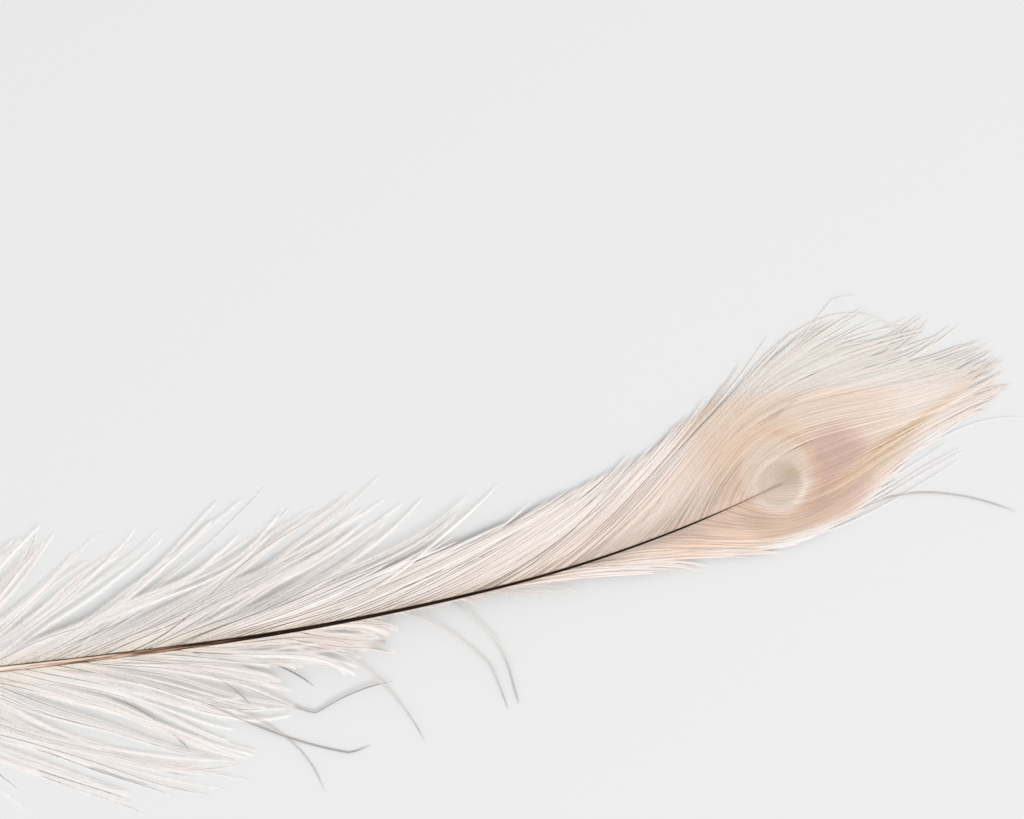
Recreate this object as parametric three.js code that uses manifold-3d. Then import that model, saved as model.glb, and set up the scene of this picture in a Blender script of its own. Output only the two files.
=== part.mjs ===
// A pale peacock tail feather, lying down. It is one grown piece: a bowed, tapering shaft with a cut quill
// end, locks of loose barbs along both sides, and locks that lie edge to edge in the eye's vane at the tip.
// Millimetres, +Z up. +X runs from the quill's cut end to the vane's tip, +Y is the long-barbed left side.
import * as THREE from "three";
import { mergeVertices } from "three/addons/utils/BufferGeometryUtils.js";
import Module from "manifold-3d";

const wasm = await Module();
wasm.setup();

// Driving dimensions.
const shaftLength = 412;
const quillRadius = 1.65;
const shaftTipRadius = 0.3;
const shaftHeadings = [-9.2, -7.4, -5.0, 1.0, 13.5]; // degrees from +X, at equal steps of the shaft's length
const archHeight = 3.2; // how far the middle of the shaft's underside lifts off the surface
const quillRest = 46; // the straight length of quill that rests flat on the surface
const eyeHeight = 2.2; // underside of the shaft's tip above the surface
const quillEnd = new THREE.Vector3(-249.77, 23.5, 0); // the cut end's place in the part's frame

// How the barbs flow on each side: where one leaves the shaft, measured from the quill's cut end, its length,
// and its headings in degrees from +X at six equal steps of that length. A barb between two rows takes values
// between theirs.
const flow = {
  left: [
    { at: 52, length: 34, headings: [38, 48, 58, 66, 70, 72] },
    { at: 76, length: 66, headings: [26, 32, 38, 44, 50, 54] },
    { at: 105, length: 100, headings: [18, 20, 24, 26, 32, 40] },
    { at: 130, length: 120, headings: [13, 14, 14, 14, 22, 30] },
    { at: 148, length: 121, headings: [10, 15, 20, 17, 21, 31] },
    { at: 164, length: 117, headings: [11, 14, 16, 14, 19, 28] },
    { at: 183, length: 126, headings: [11, 11, 19, 17, 22, 34] },
    { at: 201, length: 120, headings: [8, 4, 6, 10, 13, 16] },
    { at: 230, length: 120, headings: [6, 6, 11, 15, 18, 19] },
    { at: 260, length: 113, headings: [6, 11, 15, 19, 25, 32] },
    { at: 285, length: 110, headings: [9, 13, 20, 27, 34, 39] },
    { at: 309, length: 107, headings: [16, 21, 28, 34, 39, 43] },
    { at: 322, length: 116, headings: [20, 27, 34, 37, 37, 37] },
    { at: 334, length: 136, headings: [23, 31, 40, 36, 29, 28] },
    { at: 350, length: 133, headings: [26, 41, 40, 23, 9, -1] },
    { at: 360, length: 130, headings: [30, 46, 37, 11, 2, 6] },
    { at: 369, length: 138, headings: [43, 47, 19, -1, 0, 12] },
    { at: 378, length: 132, headings: [53, 41, 10, -4, 0, 16] },
    { at: 388, length: 118, headings: [60, 33, 4, -5, 3, 17] },
    { at: 396, length: 107, headings: [60, 23, 3, 0, 4, 11] },
    { at: 404, length: 98, headings: [48, 14, 4, 6, 8, 9] },
    { at: 412, length: 90, headings: [7, 10, 13, 14, 10, 6] },
  ],
  right: [
    { at: 52, length: 34, headings: [-46, -56, -64, -70, -74, -76] },
    { at: 68, length: 104, headings: [-46, -44, -38, -34, -36, -40] },
    { at: 85, length: 156, headings: [-44, -38, -28, -23, -27, -30] },
    { at: 105, length: 120, headings: [-42, -36, -29, -26, -18, -12] },
    { at: 127, length: 98, headings: [-29, -28, -30, -40, -38, -18] },
    { at: 142, length: 112, headings: [-25, -23, -26, -34, -26, -12] },
    { at: 158, length: 96, headings: [-22, -21, -22, -30, -30, -22] },
    { at: 172, length: 70, headings: [-20, -19, -18, -17, -24, -38] },
    { at: 184, length: 82, headings: [-19, -17, -15, -13, -13, -14] },
    { at: 206, length: 66, headings: [-15, -14, -13, -16, -19, -21] },
    { at: 230, length: 44, headings: [-12, -15, -18, -21, -22, -23] },
    { at: 250, length: 24, headings: [-11, -12, -15, -19, -22, -24] },
    { at: 300, length: 70, headings: [-3, -2, -5, -10, -16, -22] },
    { at: 318, length: 58, headings: [0, -4, -7, -9, -13, -18] },
    { at: 334, length: 71, headings: [-3, -7, -10, -11, -15, -24] },
    { at: 346, length: 68, headings: [-2, -8, -13, -15, -13, -12] },
    { at: 356, length: 69, headings: [-3, -10, -16, -15, -5, 8] },
    { at: 366, length: 74, headings: [-6, -18, -17, -6, 7, 16] },
    { at: 375, length: 87, headings: [-15, -21, -7, 12, 22, 30] },
    { at: 385, length: 90, headings: [-29, -18, 6, 22, 24, 16] },
    { at: 394, length: 96, headings: [-38, -9, 18, 24, 16, 8] },
    { at: 403, length: 94, headings: [-34, 4, 20, 19, 13, 11] },
    { at: 412, length: 90, headings: [7, 10, 13, 14, 10, 6] },
  ],
};
// Lone barbs on the right side that have sprung out of line, one of them past the eye.
const strays = [
  { at: 137, length: 128, headings: [-25, -24, -25, -36, -30, 4] },
  { at: 155, length: 113, headings: [-22, -20, -22, -38, 0, 16] },
  { at: 216, length: 78, headings: [-9, -18, -35, -53, -65, -75] },
  { at: 272, length: 54, headings: [-29, -41, -50, -60, -75, -84] },
  { at: 288, length: 47, headings: [-28, -55, -67, -82, -89, -83] },
  { at: 352, length: 142, headings: [-7, -16, 2, 15, -17, -36] },
];
// Loose locks: so many of them from one station to another, each in its share of the flow and none wider than
// this. They begin to narrow at a share of their length.
const looseRows = [
  { side: "left", from: 50, to: 196, count: 12 },
  { side: "right", from: 50, to: 252, count: 16 },
];
const loose = { widest: 5.4, thickness: 1, stretches: 9, narrowsFrom: 0.5 };
// The dense vane's locks lie edge to edge, wide ones along the shaft and narrower ones at the eye. Only their
// tips stand apart, from this share of their length on.
const denseRows = [
  { side: "left", parts: [{ from: 197, to: 333, count: 12 }, { from: 333, to: 408, count: 13 }] },
  { side: "right", parts: [{ from: 300, to: 348, count: 4 }, { from: 348, to: 408, count: 10 }] },
];
const dense = { ridge: 1, edge: 0.5, stretches: 11, freeFrom: 0.82 };
const tipLockFrom = 406; // the last lock fills the flow ahead of here on both sides
const stray = { width: 1.2, thickness: 0.9, stretches: 8 };
const restingHeight = 0.6; // of a lock's middle where it lies on the surface
const droopWidth = 42; // how far from the shaft the vane comes down to the surface

const degrees = Math.PI / 180;
const lerp = THREE.MathUtils.lerp;
const smooth = (t) => THREE.MathUtils.smoothstep(t, 0, 1);

// A fraction from 0 to 1 that looks random but is the same for the same number.
function scatter(n) {
  const x = Math.sin(n * 12.9898 + 4.1414) * 43758.5453;
  return x - Math.floor(x);
}

// The value at share t, 0 to 1, of a list of values set at equal steps.
function along(values, t) {
  const place = THREE.MathUtils.clamp(t, 0, 1) * (values.length - 1);
  const step = Math.min(Math.floor(place), values.length - 2);
  return lerp(values[step], values[step + 1], place - step);
}

// Points in plan of a line that leaves start and turns through the headings over its length.
function turning(start, length, headings, steps) {
  const points = [start.clone()];
  for (let i = 0; i < steps; i++) {
    const heading = along(headings, (i + 0.5) / steps) * degrees;
    const stride = new THREE.Vector3(Math.cos(heading), Math.sin(heading), 0).multiplyScalar(length / steps);
    points.push(points[i].clone().add(stride));
  }
  return points;
}

const shaftSteps = 32;
const shaftSides = 8;
const lineSteps = 60; // steps in which a barb's line turns
const shaftPlan = turning(quillEnd, shaftLength, shaftHeadings, shaftSteps);

function shaftRadius(station) {
  return lerp(quillRadius, shaftTipRadius, Math.pow(station / shaftLength, 1.15));
}

// Height of the shaft's underside: flat along the quill, then a long low arch down to the eye.
function shaftUnderside(station) {
  const share = THREE.MathUtils.clamp((station - quillRest) / (shaftLength - quillRest), 0, 1);
  return archHeight * Math.sin(Math.PI * smooth(share)) + eyeHeight * smooth(share);
}

// The middle of the shaft at a station. One flat side of the shaft faces down.
function shaftPoint(station) {
  const place = Math.min(station / shaftLength, 1) * shaftSteps;
  const step = Math.min(Math.floor(place), shaftSteps - 1);
  const point = shaftPlan[step].clone().lerp(shaftPlan[step + 1], place - step);
  point.z = shaftUnderside(station) + shaftRadius(station) * Math.cos(Math.PI / shaftSides);
  return point;
}

// Height of the vane's middle: it leaves the shaft's middle and droops to the surface all round.
function vaneHeight(place) {
  let nearest = Infinity;
  let station = 0;
  for (let i = 0; i < shaftSteps; i++) {
    const [from, to] = [shaftPlan[i], shaftPlan[i + 1]];
    const stretch = new THREE.Vector2(to.x - from.x, to.y - from.y);
    const reach = new THREE.Vector2(place.x - from.x, place.y - from.y);
    const share = THREE.MathUtils.clamp(reach.dot(stretch) / stretch.lengthSq(), 0, 1);
    const distance = reach.addScaledVector(stretch, -share).length();
    if (distance < nearest) {
      nearest = distance;
      station = ((i + share) / shaftSteps) * shaftLength;
    }
  }
  return lerp(shaftPoint(station).z, restingHeight, smooth(Math.min(1, nearest / droopWidth)));
}

// Moves every point of a plain geometry to its place on the feather and makes it a solid.
function bent(geometry, place) {
  const position = geometry.getAttribute("position");
  for (let i = 0; i < position.count; i++) {
    const { x, y, z } = place(new THREE.Vector3().fromBufferAttribute(position, i));
    position.setXYZ(i, x, y, z);
  }
  geometry.deleteAttribute("normal");
  geometry.deleteAttribute("uv");
  const merged = mergeVertices(geometry, 1e-4);
  const made = new wasm.Manifold(
    new wasm.Mesh({
      numProp: 3,
      vertProperties: new Float32Array(merged.getAttribute("position").array),
      triVerts: new Uint32Array(merged.index.array),
    }),
  );
  if (made.volume() <= 0) throw new Error("a piece is inside out");
  return made;
}

// The line in plan of the barb that leaves the shaft at a station, between the two nearest rows of the flow.
function barbLine(name, station) {
  const side = flow[name];
  const after = Math.max(1, side.findIndex((row) => row.at >= station));
  const [low, high] = [side[after - 1], side[after]];
  const share = (station - low.at) / (high.at - low.at);
  const length = lerp(low.length, high.length, share) * (0.96 + 0.08 * scatter(station));
  const headings = low.headings.map((heading, i) => lerp(heading, high.headings[i], share));
  return turning(shaftPoint(station), length, headings, lineSteps);
}

function pointAlong(line, share) {
  const place = share * (line.length - 1);
  const step = Math.min(Math.floor(place), line.length - 2);
  return line[step].clone().lerp(line[step + 1], place - step);
}

// A point in plan raised or lowered from the vane's middle. At a root it keeps inside the shaft.
function onVane(point, thickness, way, t, station) {
  const rooted = Math.min(thickness, shaftRadius(station));
  const height = t === 0 ? shaftPoint(station).z : vaneHeight(point);
  const half = lerp(rooted, thickness, Math.min(1, 8 * t)) / 2;
  return new THREE.Vector3(point.x, point.y, height + way * half);
}

// One loose lock: a four-sided cylinder whose corners become a ridge above, one below and two sharp edges.
function looseLock({ side, from, to, count }, number) {
  const stations = [0, 1, 2].map((k) => lerp(from, to, (2 * number + k) / (2 * count)));
  const [low, middle, high] = stations.map((station) => barbLine(side, station));
  const thickness = loose.thickness * (0.8 + 0.4 * scatter(stations[1] + 0.5));
  const edges = side === "left" ? [low, high] : [high, low];
  const geometry = new THREE.CylinderGeometry(1, 1, 1, 4, loose.stretches);
  return bent(geometry, ({ x, y, z }) => {
    const t = y + 0.5;
    const centre = pointAlong(middle, t);
    const edge = pointAlong(edges[x < 0 ? 0 : 1], t);
    const half = (loose.widest / 2) * lerp(0.4, 1, smooth(Math.min(1, 2.5 * t)));
    const narrowing = lerp(1, 0.12, Math.max(0, (t - loose.narrowsFrom) / (1 - loose.narrowsFrom)));
    const reach = Math.abs(x) * Math.min(0.9, half / centre.distanceTo(edge)) * narrowing;
    return onVane(centre.lerp(edge, reach), thickness, z, t, stations[1]);
  });
}

// Locks side by side as one sheet: a box with a line of points along every lock's ridge and along every edge
// between two locks. The ridges run on past the edges, into a row of pointed tips.
function sheet(lines, stations) {
  const across = lines.length - 1;
  const geometry = new THREE.BoxGeometry(across, 1, 2, across, dense.stretches, 1);
  return bent(geometry, ({ x, y, z }) => {
    const line = Math.round(x + across / 2);
    const ridge = line % 2 === 1;
    const t = (y + 0.5) * (ridge ? 1 : dense.freeFrom);
    const thickness = ridge ? dense.ridge * (0.8 + 0.4 * scatter(stations[line] + 0.5)) : dense.edge;
    return onVane(pointAlong(lines[line], t), thickness, z, t, stations[line]);
  });
}

function denseRow({ side, parts }) {
  const steps = parts.flatMap(({ from, to, count }) => Array(2 * count).fill((to - from) / (2 * count)));
  const stations = [parts[0].from];
  steps.forEach((step) => stations.push(stations.at(-1) + step));
  if (side === "right") stations.reverse();
  return sheet(stations.map((station) => barbLine(side, station)), stations);
}

// The lock that closes the eye ahead of the shaft, between the last barbs of both sides.
function tipLock() {
  const stations = [tipLockFrom, shaftLength, tipLockFrom];
  return sheet(["left", "left", "right"].map((side, i) => barbLine(side, stations[i])), stations);
}

// A cylinder bent along a line in plan, with its half width, half thickness and height at each share of it.
function rod(line, sides, stretches, turn, halfWidth, halfThickness, height) {
  const geometry = new THREE.CylinderGeometry(1, 1, 1, sides, stretches, false, turn);
  return bent(geometry, ({ x, y, z }) => {
    const t = y + 0.5;
    const middle = pointAlong(line, t);
    const ahead = pointAlong(line, Math.min(1, t + 0.01)).sub(pointAlong(line, Math.max(0, t - 0.01)));
    const point = middle.clone().add(new THREE.Vector3(ahead.y, -ahead.x, 0).setLength(x * halfWidth(t)));
    point.z = height(middle, t) + z * halfThickness(t);
    return point;
  });
}

function strayBarb(barb) {
  const line = turning(shaftPoint(barb.at), barb.length, barb.headings, lineSteps);
  const halfWidth = (t) => (stray.width / 2) * lerp(1, 0.6, t);
  const halfThickness = (t) => (stray.thickness / 2) * lerp(1, 0.6, t);
  return rod(line, 4, stray.stretches, 0, halfWidth, halfThickness, vaneHeight);
}

function shaft() {
  const radius = (t) => shaftRadius(t * shaftLength);
  const height = (middle, t) => shaftPoint(t * shaftLength).z;
  return rod(shaftPlan, shaftSides, shaftSteps, Math.PI / shaftSides, radius, radius, height);
}

const pieces = [
  shaft(),
  ...denseRows.map(denseRow),
  tipLock(),
  ...looseRows.flatMap((row) => Array.from({ length: row.count }, (_, i) => looseLock(row, i))),
  ...strays.map(strayBarb),
];

const whole = pieces.reduce((a, b) => a.add(b));
const { numProp, vertProperties, triVerts } = whole.getMesh();
const places = new Float32Array((vertProperties.length / numProp) * 3);
for (let i = 0; i < places.length / 3; i++) {
  places.set(vertProperties.subarray(i * numProp, i * numProp + 3), i * 3);
}
const featherGeometry = new THREE.BufferGeometry();
featherGeometry.setAttribute("position", new THREE.BufferAttribute(places, 3));
featherGeometry.setIndex(new THREE.BufferAttribute(triVerts, 1));
featherGeometry.computeVertexNormals();

const bleachedKeratin = new THREE.MeshStandardMaterial({ color: 0xe9d9ca, roughness: 0.6, metalness: 0 });
const feather = new THREE.Mesh(featherGeometry, bleachedKeratin);
feather.name = "feather";

const part = new THREE.Group();
part.add(feather);
export default part;
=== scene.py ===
# A pale, bleached peacock tail feather lying on a white surface: a tapering shaft and several hundred barbs,
# each a thin stem (the ramus) with a narrow web and a fringe of barbules along both sides.
import math

import bpy
import numpy as np
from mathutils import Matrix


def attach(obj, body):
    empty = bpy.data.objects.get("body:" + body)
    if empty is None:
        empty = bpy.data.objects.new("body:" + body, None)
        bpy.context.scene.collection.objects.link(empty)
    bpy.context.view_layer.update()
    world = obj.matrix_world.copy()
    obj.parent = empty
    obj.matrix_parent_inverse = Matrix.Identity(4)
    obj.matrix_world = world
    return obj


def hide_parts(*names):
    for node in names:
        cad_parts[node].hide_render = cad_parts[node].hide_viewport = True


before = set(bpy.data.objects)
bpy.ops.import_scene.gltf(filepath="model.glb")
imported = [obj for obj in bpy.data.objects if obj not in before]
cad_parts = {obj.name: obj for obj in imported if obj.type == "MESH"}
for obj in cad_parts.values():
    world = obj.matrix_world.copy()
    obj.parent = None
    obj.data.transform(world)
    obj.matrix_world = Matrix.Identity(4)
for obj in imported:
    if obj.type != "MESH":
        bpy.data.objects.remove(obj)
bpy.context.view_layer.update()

# Driving dimensions, in millimetres as a feather is measured. MM turns them into the scene's metres.
MM = 0.001
SHAFT_LENGTH = 412
QUILL_RADIUS = 1.65
SHAFT_TIP_RADIUS = 0.3
SHAFT_HEADINGS = (-9.2, -7.4, -5.0, 1.0, 13.5)  # degrees from +X, at equal steps of the shaft's length
ARCH_HEIGHT = 3.2  # how far the middle of the shaft's underside lifts off the surface
QUILL_REST = 46  # the straight length of quill that rests flat on the surface
EYE_HEIGHT = 2.2  # underside of the shaft's tip above the surface
QUILL_END = (-249.77, 23.5)  # the cut end's place
RESTING_HEIGHT = 0.6  # of the vane's middle where it lies on the surface
DROOP_WIDTH = 42  # how far from the shaft the vane comes down to the surface
LOWEST = 0.05  # no hair reaches lower than this
SHAFT_STEPS = 256
SHAFT_TALLNESS = 0.92  # height of the shaft's section as a share of its width
PLACES_AT_ONCE = 20000  # how many places are measured against the shaft at a time, to spare memory
STEM_SIDES = 3
STEM_RADII = (0.14, 0.05)  # of a barb in the vane, at the root and at the tip
BARBULE_WIDTH = 0.12
BARBULE_ANGLES = (48, 26)  # degrees off the stem, at its root and at its tip
BARBULE_DROOP = 0.12  # share of a barbule's length
WEB_DROOP = 0.3  # share of a web's width
LONE_STEPS = 48  # of the line of a lone or hanging barb

# How the barbs flow on each side: where one leaves the shaft, measured from the quill's cut end, its length,
# and its headings in degrees from +X at six places spaced evenly along it. Most of these rows were fitted by
# another script to courses picked by eye, and then changed a little by hand. Given without fitting: the left
# rows at 52, 76 and 105, and the right rows at 52, 68, 262 and 290.
FLOW = {
    "left": (
        (52, 34, (38, 48, 58, 66, 70, 72)),
        (76, 66, (26, 32, 38, 44, 50, 54)),
        (105, 100, (18, 20, 24, 26, 32, 40)),
        (130, 120, (13, 14, 14, 14, 22, 30)),
        (148, 121, (10, 15, 20, 17, 21, 31)),
        (164, 117, (11, 14, 16, 14, 19, 28)),
        (183, 126, (11, 11, 19, 17, 22, 34)),
        (201, 120, (8, 4, 6, 10, 13, 16)),
        (230, 120, (6, 6, 11, 15, 18, 19)),
        (260, 113, (6, 11, 15, 19, 25, 32)),
        (285, 110, (9, 13, 20, 27, 34, 39)),
        (309, 107, (16, 21, 28, 34, 39, 43)),
        (322, 116, (20, 27, 34, 37, 37, 37)),
        (334, 136, (23, 31, 40, 36, 29, 28)),
        (350, 133, (26, 41, 40, 23, 9, 2)),
        (360, 130, (30, 46, 37, 11, 2, 8)),
        (369, 138, (43, 47, 19, -1, 0, 12)),
        (378, 132, (53, 41, 10, -4, 0, 16)),
        (388, 118, (60, 33, 4, -5, 3, 17)),
        (396, 107, (60, 23, 3, 0, 4, 11)),
        (404, 98, (48, 14, 4, 6, 8, 9)),
        (412, 90, (7, 10, 13, 14, 10, 6)),
    ),
    "right": (
        (52, 34, (-46, -56, -64, -70, -74, -76)),
        (68, 104, (-46, -44, -38, -34, -36, -40)),
        (85, 156, (-44, -38, -28, -23, -27, -30)),
        (105, 120, (-42, -36, -29, -26, -18, -12)),
        (127, 98, (-29, -28, -30, -40, -38, -18)),
        (142, 112, (-25, -23, -26, -34, -26, -12)),
        (158, 96, (-22, -21, -22, -30, -30, -22)),
        (172, 70, (-20, -19, -18, -17, -24, -38)),
        (184, 82, (-19, -17, -15, -13, -13, -14)),
        (206, 66, (-15, -14, -13, -16, -19, -21)),
        (230, 44, (-12, -15, -18, -21, -22, -23)),
        (250, 24, (-11, -12, -15, -19, -22, -24)),
        (262, 7, (-11, -14, -19, -25, -30, -34)),
        (290, 7, (-9, -14, -20, -26, -32, -36)),
        (300, 70, (-3, -2, -5, -10, -16, -22)),
        (318, 58, (0, -4, -7, -9, -13, -18)),
        (334, 71, (-3, -7, -10, -11, -15, -24)),
        (346, 68, (-2, -8, -13, -15, -13, -12)),
        (356, 69, (-3, -10, -16, -15, -5, 8)),
        (366, 74, (-6, -18, -17, -6, 7, 16)),
        (375, 87, (-15, -21, -7, 12, 22, 30)),
        (385, 90, (-29, -18, 6, 22, 24, 16)),
        (394, 96, (-38, -9, 18, 24, 16, 8)),
        (403, 94, (-34, 4, 20, 19, 13, 11)),
        (412, 90, (7, 10, 13, 14, 10, 6)),
    ),
}
# Lone barbs on the right side that have sprung out of line: as above, then the kinks of each, as the share of
# its length where it bends and the turn there in degrees, and last how dark its stem is. The lines of all ten
# were fitted by another script, and those at 272, 288 and 352 were then changed by hand.
STRAYS = (
    (110, 93, (-21, -17, -18, -28, -46, -62), (), 0.8),
    (137, 128, (-16, -19, -31, -39, -30, -19), ((0.944, 30),), 0.65),
    (141, 117, (-23, -21, -24, -34, -50, -84), (), 0.3),
    (155, 119, (-5, -14, -36, -35, -29, -50), ((0.748, 47),), 0.65),
    (160, 63, (-12, -12, -17, -29, -48, -60), (), 0.6),
    (180, 63, (-15, -13, -15, -22, -38, -51), (), 0.9),
    (216, 78, (-9, -18, -35, -53, -65, -75), (), 0.25),
    (272, 54, (-29, -41, -48, -54, -60, -62), ((0.7, -22),), 0.3),
    (288, 47, (-28, -55, -60, -62, -74, -70), ((0.5, -16),), 0.45),
    (352, 142, (-7, -16, 2, 15, -17, -36), (), 0.35),
)
# Pale soft barbs that hang outside the eye's edges: side, station, length, headings and kinks. The left rows
# at 334 and 339 were fitted by another script. The others were set from the rows of FLOW beside them.
HANGERS = (
    ("right", 360, 118, (-4, -17, -10, 10, 18, 20), ()),
    ("right", 364, 116, (-6, -18, -6, 15, 19, 14), ()),
    ("right", 368, 112, (-8, -19, -2, 16, 20, 10), ()),
    ("right", 372, 104, (-10, -20, 3, 18, 18, 22), ()),
    ("right", 401, 104, (-36, -4, 18, 20, 8, -20), ()),
    ("left", 334, 140, (12, 26, 39, 39, 35, 44), ((0.94, -48),)),
    ("left", 339, 150, (26, 35, 42, 37, 8, -58), ()),
    ("left", 352, 132, (26, 42, 40, 21, 8, 14), ()),
    ("left", 358, 130, (29, 45, 38, 14, 2, 16), ()),
    ("left", 372, 136, (46, 46, 16, -2, 0, 14), ()),
    ("left", 384, 122, (57, 37, 6, -6, 2, 28), ()),
)


# ---------------------------------------------------------------- lines of the shaft and of the barbs
def smooth(t):
    t = np.clip(t, 0, 1)
    return t * t * (3 - 2 * t)


def lerp(a, b, t):
    return a + (b - a) * t


def headings_at(headings, t):
    """Headings in radians at share t of each line, from rows of headings set at equal steps."""
    headings = np.radians(np.atleast_2d(headings))
    place = np.clip(t, 0, 1) * (headings.shape[1] - 1)
    step = np.minimum(np.floor(place).astype(int), headings.shape[1] - 2)
    return lerp(headings[:, step], headings[:, step + 1], place - step)


def turning(starts, lengths, headings):
    """Points in plan, (lines, steps + 1, 2), of lines that leave their starts with one heading a step."""
    steps = headings.shape[1]
    strides = np.stack([np.cos(headings), np.sin(headings)], -1) * (lengths / steps)[:, None, None]
    return np.concatenate([starts[:, None], starts[:, None] + np.cumsum(strides, 1)], 1)


def middles(steps):
    return (np.arange(steps) + 0.5) / steps


SHAFT_PLAN = turning(
    np.array([QUILL_END]), np.array([SHAFT_LENGTH]), headings_at(SHAFT_HEADINGS, middles(SHAFT_STEPS))
)[0]


def shaft_plan(stations):
    at = np.linspace(0, SHAFT_LENGTH, SHAFT_STEPS + 1)
    return np.stack([np.interp(stations, at, SHAFT_PLAN[:, k]) for k in (0, 1)], -1)


def shaft_radius(stations):
    return lerp(QUILL_RADIUS, SHAFT_TIP_RADIUS, (np.asarray(stations) / SHAFT_LENGTH) ** 1.15)


def shaft_height(stations):
    """Height of the shaft's middle: flat along the quill, then a long low arch down to the eye."""
    share = np.clip((stations - QUILL_REST) / (SHAFT_LENGTH - QUILL_REST), 0, 1)
    underside = ARCH_HEIGHT * np.sin(math.pi * smooth(share)) + EYE_HEIGHT * smooth(share)
    return underside + SHAFT_TALLNESS * shaft_radius(stations)


def vane_height(places):
    """Height of the vane's middle: it leaves the shaft's middle and droops to the surface all round."""
    flat = places.reshape(-1, 2)
    nearest = np.empty(len(flat))
    which = np.empty(len(flat), int)
    for first in range(0, len(flat), PLACES_AT_ONCE):
        some = slice(first, first + PLACES_AT_ONCE)
        apart = np.hypot(*(flat[some, None] - SHAFT_PLAN[None]).transpose(2, 0, 1))
        which[some] = apart.argmin(1)
        nearest[some] = apart.min(1)
    on_shaft = shaft_height(which * SHAFT_LENGTH / SHAFT_STEPS)
    height = lerp(on_shaft, RESTING_HEIGHT, smooth(nearest / DROOP_WIDTH))
    return height.reshape(places.shape[:-1])


def flow_at(side, stations):
    """Lengths and headings of the barbs that leave one side of the shaft at these stations."""
    rows = FLOW[side]
    at = [row[0] for row in rows]
    lengths = np.interp(stations, at, [row[1] for row in rows])
    headings = np.stack([np.interp(stations, at, [row[2][k] for row in rows]) for k in range(6)], 1)
    return lengths, headings


# ---------------------------------------------------------------- barbs
class Barbs:
    """A row of barbs: their lines in space, and the frames along them that webs and barbules are hung on."""

    def __init__(self, plan, lift, roll, lots, barks, stations, width, profile, fringe):
        self.count, self.steps = plan.shape[0], plan.shape[1] - 1
        height = vane_height(plan) + lift
        self.points = np.concatenate([plan, height[..., None]], -1)
        ahead = np.gradient(self.points, axis=1)
        self.ahead = ahead / np.linalg.norm(ahead, axis=-1, keepdims=True)
        level = np.stack([-self.ahead[..., 1], self.ahead[..., 0], np.zeros(height.shape)], -1)
        level /= np.linalg.norm(level, axis=-1, keepdims=True)
        up = np.cross(self.ahead, level)
        cos, sin = np.cos(roll)[..., None], np.sin(roll)[..., None]
        self.across = level * cos + up * sin
        self.over = up * cos - level * sin
        self.lots = lots
        self.barks = barks
        self.stations = stations
        self.width = width
        self.profile = np.broadcast_to(profile, height.shape)
        self.fringe = np.broadcast_to(fringe, height.shape)
        self.lengths = np.linalg.norm(np.diff(self.points, axis=1), axis=-1).sum(1)
        self.run = np.linspace(0, 1, self.steps + 1)

    def sample(self, values, which, run):
        """Values kept along the barbs, read at a share of the length of some of them."""
        place = run * self.steps
        step = np.minimum(place.astype(int), self.steps - 1)
        share = (place - step).reshape((-1,) + (1,) * (values.ndim - 2))
        return lerp(values[which, step], values[which, step + 1], share)


class Mesh:
    """Gathers points, triangles, places on the map and values, and makes one Blender object of them."""

    def __init__(self):
        self.points, self.faces, self.places, self.values = [], [], [], []
        self.total = 0

    def add(self, points, faces, places, values):
        """points (n, 3) in mm; faces (m, 3) of them; places (m, 3, 2) on the map; values (n, VALUES)."""
        self.points.append(points)
        self.faces.append(faces + self.total)
        self.places.append(places)
        self.values.append(values)
        self.total += len(points)

    def finish(self, name, material, slot):
        points = np.concatenate(self.points)
        points[:, 2] = np.maximum(points[:, 2], LOWEST)
        faces = np.concatenate(self.faces)
        mesh = bpy.data.meshes.new(name)
        mesh.vertices.add(len(points))
        mesh.vertices.foreach_set("co", (points * MM).astype(np.float32).ravel())
        mesh.loops.add(faces.size)
        mesh.loops.foreach_set("vertex_index", faces.astype(np.int32).ravel())
        mesh.polygons.add(len(faces))
        mesh.polygons.foreach_set("loop_start", np.arange(0, faces.size, 3, dtype=np.int32))
        mesh.update(calc_edges=True)
        mesh.shade_smooth()
        layer = mesh.uv_layers.new(name="OFBake")
        layer.uv.foreach_set("vector", np.concatenate(self.places).astype(np.float32).ravel())
        values = np.concatenate(self.values)
        for k, label in enumerate(VALUES):
            kept = mesh.attributes.new(label, "FLOAT", "POINT")
            kept.data.foreach_set("value", values[:, k].astype(np.float32))
        mesh.materials.append(material)
        piece = bpy.data.objects.new(name, mesh)
        bpy.context.scene.collection.objects.link(piece)
        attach(piece, "root")
        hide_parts("feather")


# What the finishes read: share of the barb's length, 0 on the stem to 1 at the barbules' ends, the barb's own
# chance value, how dark its stem is, and where it leaves the shaft as a share of the shaft.
VALUES = ("run", "reach", "lot", "bark", "station")

# Each barb has a strip of the map. Shares of the strip's height: the stem in the middle, a web on either
# side of it, and the barbules outermost.
STEM_BAND = (0.44, 0.56)
WEB_BANDS = {1: (0.58, 0.76), -1: (0.42, 0.24)}
FRINGE_BANDS = {1: (0.78, 0.98), -1: (0.22, 0.02)}


def grid_faces(lines, rows, columns):
    """Triangles of lines grids, each of rows by columns points, and the row and column of each corner."""
    row, column = np.meshgrid(np.arange(rows - 1), np.arange(columns - 1), indexing="ij")
    cell = np.stack([row, column], -1).reshape(-1, 1, 2)
    square = np.array([[0, 0], [0, 1], [1, 1], [1, 0]])
    cells = np.concatenate([cell + square[[0, 1, 2]], cell + square[[0, 2, 3]]])
    index = cells[..., 0] * columns + cells[..., 1]
    offsets = np.arange(lines) * rows * columns
    return (index[None] + offsets[:, None, None]).reshape(-1, 3), np.tile(cells, (lines, 1, 1))


def strip_places(which, run, share, count):
    """Places on the map: run along the strip, share across the strip of barb number which."""
    return np.stack([0.01 + 0.98 * run, (which + share) / count], -1)


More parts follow.
